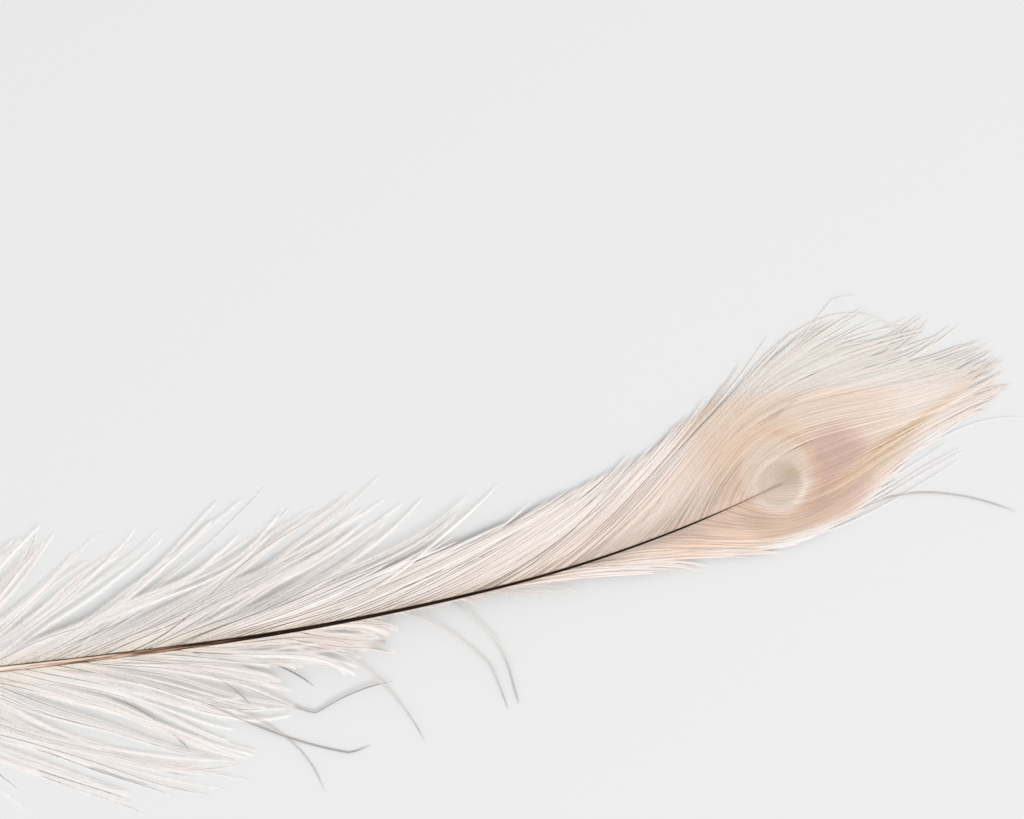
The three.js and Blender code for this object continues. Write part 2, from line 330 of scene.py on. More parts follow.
def add_stems(mesh, barbs, root_radius, tip_radius):
    """The stem of each barb: a closed three-sided rod that tapers to its tip."""
    rows = barbs.steps + 1
    radius = lerp(root_radius, tip_radius, barbs.run ** 0.8) * (1 - 0.8 * smooth((barbs.run - 0.93) / 0.07))
    radius = ((0.8 + 0.75 * barbs.barks)[:, None] * radius)[..., None]
    ring = []
    for corner in np.radians([90, 210, 330]):
        outward = barbs.across * math.cos(corner) + barbs.over * math.sin(corner)
        ring.append(barbs.points + radius * outward)
    points = np.stack(ring, 2).reshape(-1, 3)
    wrapped, cells = grid_faces(barbs.count, rows, STEM_SIDES + 1)
    line = np.repeat(np.arange(barbs.count), len(wrapped) // barbs.count)
    faces = (line[:, None] * rows + cells[..., 0]) * STEM_SIDES + cells[..., 1] % STEM_SIDES
    share = lerp(*STEM_BAND, cells[..., 1] / STEM_SIDES)
    places = strip_places(line[:, None], cells[..., 0] / barbs.steps, share, barbs.count)
    values = barb_values(barbs, STEM_SIDES, np.zeros(STEM_SIDES))
    first = np.arange(barbs.count) * rows * STEM_SIDES
    last = first + barbs.steps * STEM_SIDES
    caps = np.concatenate([first[:, None] + [2, 1, 0], last[:, None] + [0, 1, 2]])
    cap_line = np.tile(np.arange(barbs.count), 2)
    cap_run = np.repeat([0.0, 1.0], barbs.count)[:, None] + [0, 0.001, 0.001]
    cap_share = STEM_BAND[0] + np.array([0, 0, 0.004])
    cap_places = strip_places(cap_line[:, None], cap_run, cap_share, barbs.count)
    mesh.add(points, np.concatenate([faces, caps]), np.concatenate([places, cap_places]), values)


def barb_values(barbs, columns, reach):
    shape = (barbs.count, barbs.steps + 1, columns)
    run = np.broadcast_to(barbs.run[None, :, None], shape)
    lot = np.broadcast_to(barbs.lots[:, None, None], shape)
    bark = np.broadcast_to(barbs.barks[:, None, None], shape)
    station = np.broadcast_to(barbs.stations[:, None, None] / SHAFT_LENGTH, shape)
    return np.stack([run, np.broadcast_to(reach, shape), lot, bark, station], -1).reshape(-1, len(VALUES))


def add_webs(mesh, barbs, droop):
    """The narrow web on either side of each stem, where its barbules lie against each other."""
    rows = barbs.steps + 1
    for side in (1, -1):
        half = (barbs.width * barbs.profile)[..., None]
        inner = barbs.points
        outer = inner + side * half * barbs.across - droop * half * barbs.over
        points = np.stack([inner, outer], 2).reshape(-1, 3)
        faces, cells = grid_faces(barbs.count, rows, 2)
        line = np.repeat(np.arange(barbs.count), len(faces) // barbs.count)
        share = lerp(*WEB_BANDS[side], cells[..., 1])
        places = strip_places(line[:, None], cells[..., 0] / barbs.steps, share, barbs.count)
        if side == 1:
            faces, places = faces[:, ::-1], places[:, ::-1]
        mesh.add(points, faces, places, barb_values(barbs, 2, np.array([0.2, 0.6])))


def add_barbules(mesh, barbs, chance, spacing, length, width, angles, droop):
    """A fringe of barbules: thin blades that leave both sides of the stem and point ahead."""
    counts = np.maximum(2, (barbs.lengths / spacing).astype(int))
    which = np.repeat(np.arange(barbs.count), counts)
    order = np.arange(len(which)) - np.repeat(np.cumsum(counts) - counts, counts)
    for side in (1, -1):
        run = np.clip((order + chance.uniform(0.2, 0.8, len(which))) / counts[which], 0, 0.999)
        root = barbs.sample(barbs.points, which, run)
        ahead = barbs.sample(barbs.ahead, which, run)
        across = barbs.sample(barbs.across, which, run)
        over = barbs.sample(barbs.over, which, run)
        fringe = barbs.sample(barbs.fringe, which, run)
        angle = np.radians(lerp(*angles, run) + chance.normal(0, 5, len(which)))[:, None]
        long = (length * fringe * chance.uniform(0.75, 1.15, len(which)))[:, None]
        fall = (droop * chance.uniform(-0.6, 1.6, len(which)))[:, None]
        tip = root + long * (np.cos(angle) * ahead + side * np.sin(angle) * across - fall * over)
        half = width / 2 * ahead
        points = np.stack([root - half, root + half, tip], 1).reshape(-1, 3)
        faces = np.arange(len(points)).reshape(-1, 3)
        share = lerp(*FRINGE_BANDS[side], np.array([0.0, 0.0, 1.0]))
        slim = 0.45 / counts[which]
        along = np.stack([run - slim, run + slim, run], 1)
        places = strip_places(which[:, None], np.clip(along, 0, 1), share, barbs.count)
        if side == -1:
            faces, places = faces[:, ::-1], places[:, ::-1]
        values = np.empty((len(which), 3, len(VALUES)))
        values[..., 0] = run[:, None]
        values[..., 1] = (0.3, 0.3, 1.0)
        values[..., 2] = barbs.lots[which, None]
        values[..., 3] = barbs.barks[which, None]
        values[..., 4] = barbs.stations[which, None] / SHAFT_LENGTH
        mesh.add(points, faces, places, values.reshape(-1, len(VALUES)))


def sway(chance, count, t, size):
    """Slow wandering of a heading along each of count lines, in degrees, nothing at the root."""
    phase = chance.uniform(0, 2 * math.pi, (count, 3, 1))
    weight = chance.normal(0, 1, (count, 3, 1))
    waves = weight[:, 0] * np.sin(3.3 * t + phase[:, 0]) + 0.6 * weight[:, 1] * np.sin(8 * t + phase[:, 1])
    return size * smooth(t / 0.25) * (waves + 0.3 * weight[:, 2] * np.sin(17 * t + phase[:, 2]))


def lock_edges(chance, start, end, lock):
    """Stations that part a row into locks of about one size."""
    count = max(1, int(round((end - start) / lock)))
    steps = chance.uniform(0.65, 1.35, count)
    return start + (end - start) * np.concatenate([[0], np.cumsum(steps) / steps.sum()])


def row_of_barbs(chance, side, start, end, spacing, lock, habit, steps):
    """One row of barbs from station start to end. Each lock's barbs gather round its middle line."""
    count = int(round((end - start) / spacing))
    stations = start + (np.arange(count) + 0.5) * spacing + chance.uniform(-0.3, 0.3, count) * spacing
    stations = np.clip(stations, start, end)
    t = middles(steps)
    edges = lock_edges(chance, start, end, lock)
    lock_stations = (edges[1:] + edges[:-1]) / 2
    locks = np.clip(np.searchsorted(edges, stations) - 1, 0, len(lock_stations) - 1)
    lock_sway = sway(chance, len(lock_stations), t, habit["lock_sway"])
    lock_sway += chance.normal(0, habit["curl"], (len(lock_stations), 1)) * smooth((t - 0.72) / 0.28)
    lock_lengths = chance.uniform(habit["shortest_lock"], 1.0, len(lock_stations))
    lengths, headings = flow_at(side, stations)
    wild = np.where(chance.random(count) < habit["wild"], chance.uniform(-14, 14, count), 0)
    turns = lock_sway[locks] + sway(chance, count, t, habit["sway"]) + wild[:, None] * smooth(t / 0.6)
    lengths = lengths * lock_lengths[locks] * chance.uniform(habit["shortest"], 1.02, count)
    plan = turning(shaft_plan(stations), lengths, headings_at(headings, t) + np.radians(turns))
    middle_lengths, middle_headings = flow_at(side, lock_stations)
    middle = turning(
        shaft_plan(lock_stations), middle_lengths, headings_at(middle_headings, t) + np.radians(lock_sway)
    )
    run = np.linspace(0, 1, steps + 1)
    early, late, late_from = habit["gather"]
    pull = early * smooth(run / 0.5) + late * smooth((run - late_from) / (1 - late_from))
    free = (chance.random(count) < habit["free"]) | (wild != 0)
    pull = pull[None] * np.where(free, 0.12, chance.uniform(0.55, 1.05, count))[:, None]
    reached = np.clip(run[None] * (lengths / middle_lengths[locks])[:, None], 0, 1) * steps
    step = np.minimum(reached.astype(int), steps - 1)
    there = lerp(middle[locks[:, None], step], middle[locks[:, None], step + 1], (reached - step)[..., None])
    plan = lerp(plan, there, np.clip(pull, 0, 0.95)[..., None])
    outermost = np.concatenate([[True], locks[1:] != locks[:-1]])
    dark, rest, rarity = habit["bark"]
    barks = np.where(outermost, dark * chance.uniform(0.5, 1.0, count), rest * chance.random(count) ** rarity)
    lock_lift = chance.normal(0, habit["lock_lift"], len(lock_stations))
    lift = lock_lift[locks] + chance.normal(0, habit["lift"], count) + habit["rise"] * barks
    lift = lift[:, None] * smooth(run * lengths[:, None] / 33)
    # At their roots the barbs ride up the shaft's side, except where the shaft thins toward its tip.
    perch = 0.6 * shaft_radius(stations) * (1 - smooth((stations / SHAFT_LENGTH - 0.6) / 0.2))
    lift += perch[:, None] * (1 - smooth(run * lengths[:, None] / 9))
    roll = np.radians(sway(chance, count, run, habit["roll"]))
    lots = np.clip(0.5 * chance.random(len(lock_stations))[locks] + 0.5 * chance.random(count), 0, 1)
    profile = np.minimum(1, (1 - run) / habit["tip"]) ** 0.7 * lerp(0.45, 1, smooth(run / 0.07))
    fringe = np.minimum(1, (1 - run) / 0.05) ** 0.5 * (1 - 0.3 * run) * lerp(0.4, 1, smooth(run / 0.07))
    width = habit["web"] * chance.uniform(0.8, 1.2, (count, 1))
    return Barbs(plan, lift, roll, lots, barks, stations, width, profile, fringe)


# How the barbs of each kind of row lie: angles in degrees, lifts, rise and web in mm, the rest shares.
HABITS = {
    "loose": dict(
        lock_sway=4.0, sway=3.5, curl=12, wild=0.12, shortest_lock=0.78, shortest=0.82,
        gather=(0.4, 0.25, 0.5), free=0.3, lock_lift=0.45, lift=0.25, rise=0.2, roll=20, tip=0.35, web=0.18,
        bark=(1.3, 1.0, 2.4),
    ),
    "dense": dict(
        lock_sway=1.2, sway=1.5, curl=6, wild=0.06, shortest_lock=0.85, shortest=0.76,
        gather=(0.3, 0.4, 0.5), free=0.22, lock_lift=0.2, lift=0.13, rise=0.3, roll=9, tip=0.25, web=0.45,
        bark=(1.1, 0.85, 3.0),
    ),
    "fan": dict(
        lock_sway=1.0, sway=1.3, curl=14, wild=0.0, shortest_lock=0.93, shortest=0.9,
        gather=(0.1, 0.4, 0.6), free=0.2, lock_lift=0.13, lift=0.07, rise=0.12, roll=6, tip=0.25, web=0.62,
        bark=(0.4, 0.28, 2.0),
    ),
    "eye": dict(
        lock_sway=0.7, sway=0.9, curl=6, wild=0.02, shortest_lock=0.94, shortest=0.92,
        gather=(0.0, 0.4, 0.7), free=0.15, lock_lift=0.08, lift=0.06, rise=0.1, roll=5, tip=0.2, web=0.62,
        bark=(0.5, 0.35, 2.0),
    ),
    "down": dict(
        lock_sway=9.0, sway=9.0, curl=0, wild=0.3, shortest_lock=0.6, shortest=0.5,
        gather=(0.0, 0.3, 0.6), free=0.3, lock_lift=0.1, lift=0.1, rise=0.0, roll=20, tip=0.5, web=0.08,
        bark=(0.3, 0.3, 1.0),
    ),
}


def barb_piece(name, seed, rows, material):
    """One piece of vane from rows as VANE_PIECES sets them out."""
    mesh = Mesh()
    for number, (side, start, end, spacing, lock, habit, steps, long, fine) in enumerate(rows):
        chance = np.random.default_rng(seed * 10 + number)
        barbs = row_of_barbs(chance, side, start, end, spacing, lock, HABITS[habit], steps)
        add_stems(mesh, barbs, *STEM_RADII)
        add_webs(mesh, barbs, WEB_DROOP)
        add_barbules(mesh, barbs, chance, fine, long, BARBULE_WIDTH, BARBULE_ANGLES, BARBULE_DROOP)
    mesh.finish(name, material, "vane")


# ---------------------------------------------------------------- finishes
def linear(value):
    """One screen value from 0 to 255 as linear light."""
    share = value / 255
    return ((share + 0.055) / 1.055) ** 2.4 if share > 0.04045 else share / 12.92


def tone(red, green, blue):
    """A colour given as screen values, as linear light."""
    return tuple(linear(value) for value in (red, green, blue))


class Wire:
    """A value in a material's nodes. Arithmetic on it adds Math nodes."""

    def __init__(self, finish, socket):
        self.finish = finish
        self.socket = socket

    def math(self, operation, *values):
        return self.finish.node("ShaderNodeMath", {"operation": operation}, dict(enumerate(values)))

    def __add__(self, other):
        return self.math("ADD", self, other)

    __radd__ = __add__

    def __sub__(self, other):
        return self.math("SUBTRACT", self, other)

    def __rsub__(self, other):
        return self.math("SUBTRACT", other, self)

    def __mul__(self, other):
        return self.math("MULTIPLY", self, other)

    __rmul__ = __mul__

    def __truediv__(self, other):
        return self.math("DIVIDE", self, other)

    def __pow__(self, other):
        return self.math("POWER", self, other)

    def sqrt(self):
        return self.math("SQRT", self)

    def fraction(self):
        return self.math("FRACT", self)

    def at_least(self, other):
        return self.math("MAXIMUM", self, other)

    def at_most(self, other):
        return self.math("MINIMUM", self, other)

    def ramp(self, low, high):
        """0 below low, 1 above high, and a smooth step between."""
        settings = {"interpolation_type": "SMOOTHSTEP"}
        inputs = {"Value": self, "From Min": low, "From Max": high}
        return self.finish.node("ShaderNodeMapRange", settings, inputs)

    def bell(self, middle, reach):
        """1 at middle and smoothly 0 at reach on either side of it."""
        return 1 - self.math("ABSOLUTE", self - middle).ramp(0, reach)


class Finish:
    """A material in the making."""

    def __init__(self, name):
        self.material = bpy.data.materials.new(name)
        self.material.use_nodes = True
        self.nodes = self.material.node_tree.nodes
        self.links = self.material.node_tree.links
        self.nodes.clear()

    def node(self, kind, settings, inputs, output=0):
        """Adds a node: its settings first, then the values or links of its sockets, by name or number."""
        made = self.nodes.new(kind)
        for key, value in settings.items():
            setattr(made, key, value)
        for key, value in inputs.items():
            if isinstance(value, Wire):
                self.links.new(value.socket, made.inputs[key])
            else:
                made.inputs[key].default_value = value
        return Wire(self, made.outputs[output])

    def value(self, name):
        return self.node("ShaderNodeAttribute", {"attribute_name": name}, {}, "Fac")

    def place(self):
        """The place on the object along X and Y, in millimetres."""
        spot = self.node("ShaderNodeTexCoord", {}, {}, "Object")
        apart = self.node("ShaderNodeSeparateXYZ", {}, {"Vector": spot}).socket.node
        return [Wire(self, apart.outputs[axis]) * (1 / MM) for axis in ("X", "Y")]

    def mix(self, factor, below, above):
        """above laid over below by factor. Colours are three numbers or wires."""
        below, above = (c if isinstance(c, Wire) else (*c, 1.0) for c in (below, above))
        return self.node("ShaderNodeMix", {"data_type": "RGBA"}, {0: factor, 6: below, 7: above}, 2)

    def noise(self, scale, vector=None):
        inputs = {"Scale": scale, "Detail": 2.0}
        if vector is not None:
            inputs["Vector"] = vector
        return self.node("ShaderNodeTexNoise", {}, inputs)

    def matt(self, colour, roughness, specular):
        """A surface without a coat."""
        inputs = {"Base Color": colour, "Roughness": roughness, "Specular IOR Level": specular}
        return self.node("ShaderNodeBsdfPrincipled", {}, inputs)

    def wear(self, shader):
        """shader becomes the material's surface."""
        out = self.nodes.new("ShaderNodeOutputMaterial")
        self.links.new(shader.socket, out.inputs["Surface"])
        return self.material


EYE_MIDDLE = (158.8, 9.9)  # of the pale disc, in the part's plan
EYE_HEADING = 10.6  # degrees, from the disc to the vane's tip
SHINES_THROUGH = 0.38  # share of the barbs' light that comes from behind them
BARB_ROUGHNESS = 0.6
BARB_SPECULAR = 0.25
SHAFT_ROUGHNESS = 0.6
SHAFT_SPECULAR = 0.08


def keratin(red, green, blue):
    """The colour of a barb in a vane that looks like these screen values: light passes from barb to barb."""
    return tuple(min(0.97, (c / 0.93) ** 0.83) for c in tone(red, green, blue))


def barb_finish():
    finish = Finish("bleached barbs")
    run, reach, lot, bark, station = (finish.value(name) for name in VALUES)
    x, y = finish.place()
    cos, sin = math.cos(math.radians(EYE_HEADING)), math.sin(math.radians(EYE_HEADING))
    # The edges of the markings wander by some millimetres from barb to barb.
    uneven = (finish.noise(90.0) - 0.5) * 5 + (lot - 0.5) * 1.6
    ahead = (x - EYE_MIDDLE[0]) * cos + (y - EYE_MIDDLE[1]) * sin + uneven
    aside = (y - EYE_MIDDLE[1]) * cos - (x - EYE_MIDDLE[0]) * sin - uneven * 0.6
    right = 0 - aside
    inside = station.ramp(0.70, 0.78)  # only barbs of the eye's own stretch of shaft are marked

    def either(light, dark):
        """A tone between two, by the barb's own chance value."""
        return finish.mix(lot, keratin(*light), keratin(*dark))

    def from_spot(u, v, long=1.0, wide=1.0):
        """Distance in mm from a spot ahead of and aside from the disc's middle, on a stretched circle."""
        return (((ahead - u) / long) ** 2 + ((aside - v) / wide) ** 2).sqrt()

    around = from_spot(0, 0, 0.955, 1.04)
    in_front = ahead.ramp(-2, 10)

    # The vane's own tones, from the quill's end to the eye, with painted shade in part in the fan's grey.
    white = either((252, 246, 246), (246, 236, 232))
    ivory = either((246, 238, 235), (238, 228, 222))
    peach = either((241, 230, 223), (234, 218, 207))
    ivory = finish.mix(station.ramp(0.3, 0.6), white, ivory)
    body = finish.mix(station.ramp(0.6, 0.8), ivory, finish.mix(run.ramp(0.3, 0.7), peach, ivory))
    warm = either((232, 215, 200), (223, 204, 188))
    buff = either((229, 215, 204), (219, 203, 190))
    warm_zone = inside * ahead.ramp(-34, -16) * (1 - around.ramp(38, 60) * 0.5)
    colour = finish.mix(warm_zone, body, finish.mix(ahead.ramp(40, 56), warm, buff))
    # painted shade, in part: the fan's grey is partly its own ashy tone and partly the soft shadows among its
    # locks
    ash_and_shade = (aside + 0.35 * ahead).ramp(26, 35) * inside
    colour = finish.mix(ash_and_shade, colour, either((231, 227, 223), (217, 211, 205)))

    # Round the eye: a tan halo, and rosy, brown and mauve ground on its right and ahead of it.
    halo = (1 - (around * (1 + 0.25 * in_front)).ramp(18, 31)) * inside * (1 - 0.4 * aside.ramp(15, 25))
    colour = finish.mix(halo, colour, either((231, 210, 191), (223, 200, 176)))
    under = right.ramp(-0.5, 3) * ahead.ramp(-58, -36) * (1 - ahead.ramp(4, 26))
    under = under * (1 - right.ramp(14, 20) * 0.6)
    rosy = either((243, 217, 198), (234, 204, 181))
    colour = finish.mix(under * 0.9 * station.ramp(0.66, 0.72), colour, rosy)
    pink = (1 - from_spot(12, -13.5, 1.3, 0.9).ramp(4, 14)) * inside
    colour = finish.mix(pink * 0.9, colour, either((216, 184, 166), (202, 168, 148)))
    below = around.bell(18.3, 6.3) * right.ramp(5, 13) * inside
    colour = finish.mix(below * 0.85, colour, either((214, 186, 163), (198, 167, 142)))
    mauve = (1 - from_spot(21.5, -5.0, 1.0, 1.15).ramp(7, 16)) * inside
    colour = finish.mix(mauve * 0.9, colour, either((212, 181, 169), (202, 169, 156)))

    # A golden streak that runs ahead from the eye's right side, with a few darker strands in it.
    streak = aside + 17 - 0.27 * ahead
    gold = (streak / (0.8 + 0.9 * (1 - ahead.ramp(36, 62)))).bell(0, 3.6) * ahead.ramp(4, 20) * inside
    gold = gold * (1 - 0.7 * ahead.ramp(52, 74))
    golden = finish.mix(ahead.ramp(14, 30), keratin(222, 192, 172), keratin(232, 210, 182))
    colour = finish.mix(gold * 0.85, colour, golden)
    strand = (lot * 37).fraction().ramp(0.62, 0.7) * gold
    colour = finish.mix(strand * 0.35, colour, keratin(190, 150, 108))

    # Past the marked ground on the right the barbs are a pale grey.
    ahead_limit = 0.4 * (ahead - 18).at_least(0).at_most(37)
    back_limit = 0.08 * (18 - ahead).at_least(0).at_most(31) + 0.28 * (-13 - ahead).at_least(0).at_most(45)
    beyond = (ahead_limit + back_limit - aside - 21).ramp(0.0, 3.5) * inside
    beyond = beyond * (0.5 + 0.5 * ahead.ramp(-22, -6))
    colour = finish.mix(beyond * 0.9, colour, keratin(234, 230, 230))

    # The pale disc with its rim, the ring and the bright arc inside it, and the darker heart.
    disc = (1 - around.ramp(12.2, 14.6)) * inside
    colour = finish.mix(disc * 0.85, colour, keratin(223, 206, 191))
    rim = around.bell(15.0, 2.4) * (0.5 + 0.5 * in_front) * inside
    colour = finish.mix(rim * 0.6, colour, keratin(222, 192, 166))
    ring = from_spot(-0.3, -2.9)
    colour = finish.mix((1 - ring.ramp(8.2, 9.8)) * inside * 0.85, colour, keratin(217, 201, 187))
    bright = ring.bell(8.7, 1.7) * (0.5 + 0.5 * right.ramp(0, 7) * in_front) * inside
    colour = finish.mix(bright * 0.9, colour, keratin(240, 229, 219))
    heart = (1 - from_spot(3.8, -0.6).ramp(1.5, 7.5)) * inside
    colour = finish.mix(heart * 0.85, colour, keratin(203, 185, 165))
    spot = (1 - from_spot(5.4, -1.0, 1.5, 0.9).ramp(0.4, 2.4)) * inside
    colour = finish.mix(spot * 0.45, colour, keratin(198, 174, 140))

    # Lone barbs are grey, with painted shade in part; roots short of the eye are pale, with a painted
    # highlight in part; and one place is smudged.
    lone = 1 - station.ramp(0.02, 0.08)
    bark = bark * (1 - lone * 0.85 * (1 - run.ramp(0.45, 0.75)))
    # painted shade, in part: the lone barbs' grey is partly their own grey-beige and partly the soft shadow
    # they cast
    lone_web_and_shade = finish.mix(bark.at_most(1), keratin(226, 220, 216), keratin(176, 171, 168))
    colour = finish.mix(lone * 0.9, colour, lone_web_and_shade)
    # painted highlight, in part: the roots' pale warm tint also lightens the shade beside the shaft, as if
    # light bounced off its side
    root = (1 - run.ramp(0.03, 0.22)) * station.ramp(0.14, 0.3) * (1 - inside)
    colour = finish.mix(root * 0.7, colour, keratin(253, 236, 222))
    smudge = (((x - 13.3) / 8) ** 2 + ((y + 16.4) / 3.5) ** 2).sqrt()
    colour = finish.mix((1 - smudge.ramp(0.2, 1.0)) * 0.7, colour, tone(150, 122, 112))

    # The stems, and painted shade in a dark gap between locks on the eye's left.
    light_stem = finish.mix(run.ramp(0.05, 0.6), keratin(216, 200, 188), keratin(234, 224, 216))
    dark_stem = finish.mix(inside, tone(92, 58, 40), tone(140, 96, 62))
    dark_stem = finish.mix(run.ramp(0.35, 1.0), dark_stem, tone(164, 138, 120))
    near_shaft = (1 - run.ramp(0.1, 0.45)) * station.ramp(0.5, 0.6) * (1 - inside * 0.6)
    near_shaft = near_shaft * (1 - under * 0.85)
    darkness = (bark + near_shaft * lot * 0.25 + strand * 0.6).at_most(1)
    stem_colour = finish.mix(darkness, light_stem, dark_stem)
    lone_stem = finish.mix(bark.at_most(1), keratin(222, 215, 210), keratin(150, 145, 142))
    stem_colour = finish.mix(lone, stem_colour, lone_stem)
    on_stem = (1 - reach.ramp(0.0, 0.12)) * (1 - disc * 0.9) * (1 - mauve * 0.7) * (1 - beyond * 0.6)
    colour = finish.mix(on_stem * 0.95, colour, stem_colour)
    # painted shade: a dark line that stands for the shadow in a gap between two locks
    painted_gap_shade = (aside - 18.4 - 0.19 * ahead).bell(0, 0.75) * ahead.ramp(-2, 6) * (1 - ahead.ramp(11, 21)) * inside
    colour = finish.mix(painted_gap_shade * 0.55, colour, keratin(164, 138, 116))
    surface = finish.matt(colour, BARB_ROUGHNESS, BARB_SPECULAR)
    glow = finish.node("ShaderNodeBsdfTranslucent", {}, {"Color": colour})
    return finish.wear(finish.node("ShaderNodeMixShader", {}, {0: SHINES_THROUGH, 1: surface, 2: glow}))


def shaft_finish():
    """On the shaft, reach is how near its side a point is, and lot the share of the turn round it."""
    finish = Finish("shaft keratin")
    run, edge, turn = finish.value("run"), finish.value("reach"), finish.value("lot")
    along = finish.node("ShaderNodeCombineXYZ", {}, {0: run * 30, 1: turn * 12, 2: 0.0})
    streaks = finish.noise(1.0, along).ramp(0.38, 0.62)
    cream = finish.mix(run.ramp(0.0, 0.3), tone(232, 218, 202), tone(220, 204, 192))
    cream = finish.mix(streaks * run.ramp(0.2, 0.33) * 0.6, cream, tone(176, 146, 128))
    tan = finish.mix(streaks, tone(200, 176, 160), tone(146, 120, 104))
    colour = finish.mix((run + streaks * 0.03).ramp(0.335, 0.40), cream, tan)
    edges = edge.ramp(0.45, 0.7) * run.ramp(0.16, 0.3)
    brown = finish.mix(streaks, tone(122, 92, 74), tone(68, 46, 34))
    colour = finish.mix(edges * 0.85, colour, brown)
    russet = finish.mix(streaks, tone(146, 117, 99), brown)
    colour = finish.mix((run + streaks * 0.05).ramp(0.405, 0.46), colour, russet)
    dark = (run + 0.03 * (1 - turn.ramp(0.1, 0.3)) + streaks * 0.03).ramp(0.455, 0.55)
    black = finish.mix(streaks * 0.6, tone(8, 4, 2), tone(44, 27, 18))
    colour = finish.mix(dark, colour, black)
    side = edge.ramp(0.66, 0.9) * dark
    colour = finish.mix(side * 0.9, colour, tone(206, 186, 170))
    colour = finish.mix(run.ramp(0.93, 0.985), colour, tone(160, 130, 108))
    return finish.wear(finish.matt(colour, SHAFT_ROUGHNESS, SHAFT_SPECULAR))


# ---------------------------------------------------------------- the shaft
def shaft_piece(material):
    """The shaft: a tapering rod, a little wider than tall, grooved beneath, and cut across at the quill."""
    rows, sides = 260, 16
    run = np.linspace(0, 1, rows)
    stations = run * SHAFT_LENGTH
    plan = shaft_plan(stations)
    ahead = np.gradient(plan, axis=0)
    ahead /= np.linalg.norm(ahead, axis=1, keepdims=True)
    level = np.stack([-ahead[:, 1], ahead[:, 0], np.zeros(rows)], 1)
    quill_narrowing = lerp(0.8, 1, smooth(stations / 6))
    tip_narrowing = lerp(1, 0.5, smooth((run - 0.9) / 0.09))
    radius = shaft_radius(stations) * quill_narrowing * tip_narrowing
    turn = np.arange(sides) / sides * 2 * math.pi
    groove = 0.22 * np.exp(-(((turn + math.pi / 2 + math.pi) % (2 * math.pi) - math.pi) / 0.5) ** 2)
    deep = smooth((run - 0.12) / 0.1)
    out = radius[:, None] * (1 - groove[None] * deep[:, None])
    middle = np.concatenate([plan, shaft_height(stations)[:, None]], 1)
    points = (
        middle[:, None]
        + (out * np.cos(turn))[..., None] * level[:, None]
        + (out * SHAFT_TALLNESS * np.sin(turn))[..., None] * np.array([0, 0, 1.0])
    )
    mesh = Mesh()
    _, cells = grid_faces(1, rows, sides + 1)
    faces = cells[..., 0] * sides + cells[..., 1] % sides
    places = np.stack([0.01 + 0.98 * cells[..., 0] / (rows - 1), 0.02 + 0.8 * cells[..., 1] / sides], -1)
    edge = np.abs(np.cos(turn))
    shape = (rows, sides)
    around = (turn / (2 * math.pi))[None]
    kept = (run[:, None], edge[None], around, 0 * around, run[:, None])
    values = np.stack([np.broadcast_to(v, shape) for v in kept], -1).reshape(-1, len(VALUES))
    ends = np.array([middle[0], middle[-1]])
    flat = points.reshape(-1, 3)
    here = np.arange(sides)
    after = (here + 1) % sides
    last = (rows - 1) * sides
    quill_cap = np.stack([after, here, np.full(sides, len(flat))], 1)
    tip_cap = np.stack([here + last, after + last, np.full(sides, len(flat) + 1)], 1)
    caps = np.concatenate([quill_cap, tip_cap])
    rim = np.stack([0.03 * np.cos(turn), 0.07 * np.sin(turn)], -1)
    cap_places = []
    for centre, one, other in ((0.1, after, here), (0.3, here, after)):
        hub = np.array([centre, 0.91])
        cap_places.append(np.stack([hub + rim[one], hub + rim[other], np.broadcast_to(hub, (sides, 2))], 1))
    end_values = np.array([[0, 0, 0, 0, 0], [1, 0, 0, 0, 1.0]])
    mesh.add(
        np.concatenate([flat, ends]),
        np.concatenate([faces[:, ::-1], caps[:, ::-1]]),
        np.concatenate([places[:, ::-1], np.concatenate(cap_places)[:, ::-1]]),
        np.concatenate([values, end_values]),
    )
    mesh.finish("shaft", material, "shaft")


def lone_barbs(chance, rows, web, roll, marked):
    """Barbs with lines of their own: station, length, headings, kinks if any, and how dark the stem is.

    Barbs that aren't marked are given station 0, which the finish reads as lone.
    """
    t = middles(LONE_STEPS)
    stations = np.array([row[0] for row in rows], float)
    lengths = np.array([row[1] for row in rows], float)
    headings = headings_at([row[2] for row in rows], t)
    for number, row in enumerate(rows):
        for share, turn in row[3]:
            headings[number] += math.radians(turn) * smooth((t - share) / 0.03 + 0.5)
    count = len(rows)
    run = np.linspace(0, 1, LONE_STEPS + 1)
    roll = np.radians(sway(chance, count, run, roll))
    profile = np.minimum(1, (1 - run) / 0.25) ** 0.7 * lerp(0.3, 1, smooth(run / 0.3))
    fringe = np.minimum(1, (1 - run) / 0.04) ** 0.5 * lerp(0.3, 1, smooth(run / 0.4))
    lots, barks = chance.random(count), np.array([row[4] for row in rows])
    plan = turning(shaft_plan(stations), lengths, headings)
    lift = chance.normal(0, 0.1, (count, 1))
    widths = np.full((count, 1), web)
    return Barbs(plan, lift, roll, lots, barks, stations * marked, widths, profile, fringe)


def stray_piece(material):
    chance = np.random.default_rng(91)
    mesh = Mesh()
    strays = lone_barbs(chance, STRAYS, web=0.36, roll=12, marked=False)
    add_stems(mesh, strays, root_radius=0.26, tip_radius=0.24)
    add_webs(mesh, strays, droop=0.22)
    add_barbules(mesh, strays, chance, spacing=0.15, length=0.9, width=0.1, angles=(40, 24), droop=0.1)
    pale_stem = 0.2
    hangers = lone_barbs(chance, [(*row[1:], pale_stem) for row in HANGERS], web=0.2, roll=8, marked=True)
    add_stems(mesh, hangers, root_radius=0.12, tip_radius=0.05)
    add_webs(mesh, hangers, droop=0.22)
    add_barbules(mesh, hangers, chance, spacing=0.18, length=2.2, width=0.08, angles=(42, 22), droop=0.1)
    mesh.finish("stray_barbs", material, "vane")


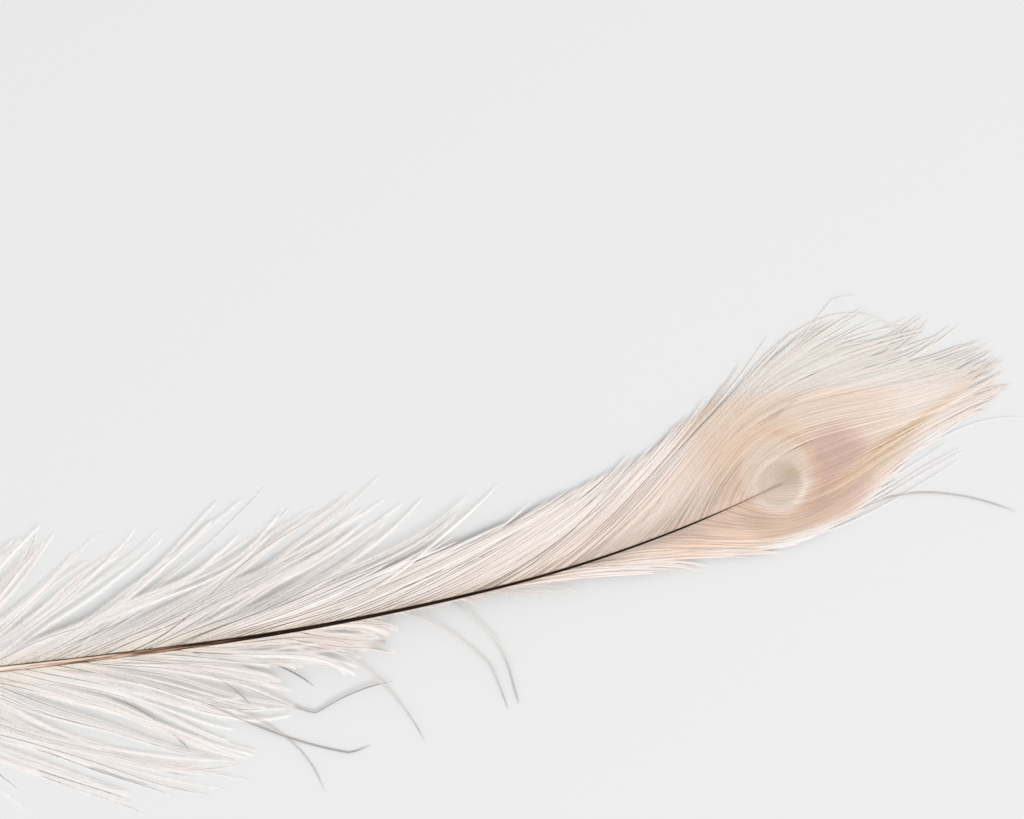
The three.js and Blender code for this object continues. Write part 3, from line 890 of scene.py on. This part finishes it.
# The vane's pieces: name, seed and rows. Each row has its side, its first and last station, the spacing of
# its barbs, the width of a lock, its habit, the steps of a barb, and the length and spacing of its barbules.
VANE_PIECES = (
    ("herl_left", 1, (("left", 50, 196, 1.9, 8, "loose", 26, 2.9, 0.17),)),
    ("herl_right", 2, (("right", 50, 252, 1.9, 8, "loose", 26, 2.9, 0.17),)),
    ("band_left", 3, (("left", 196, 333, 1.1, 6.5, "dense", 24, 1.7, 0.28),)),
    ("eye_left", 4, (
        ("left", 333, 368, 0.64, 4, "fan", 30, 2.2, 0.34),
        ("left", 356, 386, 0.62, 4, "fan", 30, 2.2, 0.34),
        ("left", 366, 412, 0.62, 3, "eye", 30, 1.5, 0.34),
    )),
    ("band_right", 5, (
        ("right", 300, 348, 1.0, 6, "dense", 20, 1.5, 0.27),
        ("right", 253, 300, 0.5, 3, "down", 8, 0.8, 0.3),
    )),
    ("eye_right", 6, (("right", 348, 412, 0.5, 3, "eye", 26, 1.3, 0.3),)),
)

barb_material = barb_finish()
shaft_piece(shaft_finish())
for name, seed, rows in VANE_PIECES:
    barb_piece(name, seed, rows, barb_material)
stray_piece(barb_material)


# ---------------------------------------------------------------- floor, light and camera
FLOOR_REACH = 6.0  # m, from the middle to each side
FLOOR_GREY = 0.565
FLOOR_ROUGHNESS = 0.9
FLOOR_SPECULAR = 0.1


def floor_finish():
    finish = Finish("white surface")
    grey = (FLOOR_GREY, FLOOR_GREY, FLOOR_GREY, 1)
    return finish.wear(finish.matt(grey, FLOOR_ROUGHNESS, FLOOR_SPECULAR))


def make_floor():
    mesh = bpy.data.meshes.new("floor")
    corners = [(x * FLOOR_REACH, y * FLOOR_REACH, 0) for x, y in ((-1, -1), (1, -1), (1, 1), (-1, 1))]
    mesh.from_pydata(corners, [], [(0, 1, 2, 3)])
    mesh.materials.append(floor_finish())
    floor = bpy.data.objects.new("floor", mesh)
    bpy.context.scene.collection.objects.link(floor)


VIEW_MIDDLE = (73.9, 53.2)  # mm, the spot in the middle of the picture
VIEW_WIDTH = 358.4  # mm of surface across the picture
VIEW_TURN = -13.0  # degrees, the heading of the picture's right
KEY_PLACE = (0.8, -1.5, 2.8)  # m
KEY_SIZE = 2.2  # m
KEY_POWER = 70  # W


def make_camera():
    camera = bpy.data.cameras.new("camera")
    camera.lens = 85
    camera.sensor_width = 36
    camera.clip_start = 0.01
    height = VIEW_WIDTH * MM * camera.lens / camera.sensor_width
    holder = bpy.data.objects.new("camera", camera)
    holder.location = (VIEW_MIDDLE[0] * MM, VIEW_MIDDLE[1] * MM, height)
    holder.rotation_euler = (0, 0, math.radians(VIEW_TURN))
    bpy.context.scene.collection.objects.link(holder)
    bpy.context.scene.camera = holder


def softbox(name, place, size, power):
    lamp = bpy.data.lights.new(name, "AREA")
    lamp.size = size
    lamp.energy = power
    holder = bpy.data.objects.new(name, lamp)
    holder.location = place
    away = np.array(place) / np.linalg.norm(place)
    holder.rotation_euler = (math.acos(away[2]), 0, math.atan2(away[1], away[0]) + math.pi / 2)
    bpy.context.scene.collection.objects.link(holder)


def make_light():
    world = bpy.data.worlds.new("studio")
    world.use_nodes = True
    world.node_tree.nodes["Background"].inputs["Color"].default_value = (1.0, 1.0, 1.0, 1)
    world.node_tree.nodes["Background"].inputs["Strength"].default_value = 1.0
    bpy.context.scene.world = world
    softbox("key", KEY_PLACE, KEY_SIZE, KEY_POWER)
    bpy.context.scene.view_settings.view_transform = "Standard"


make_floor()
make_camera()
make_light()
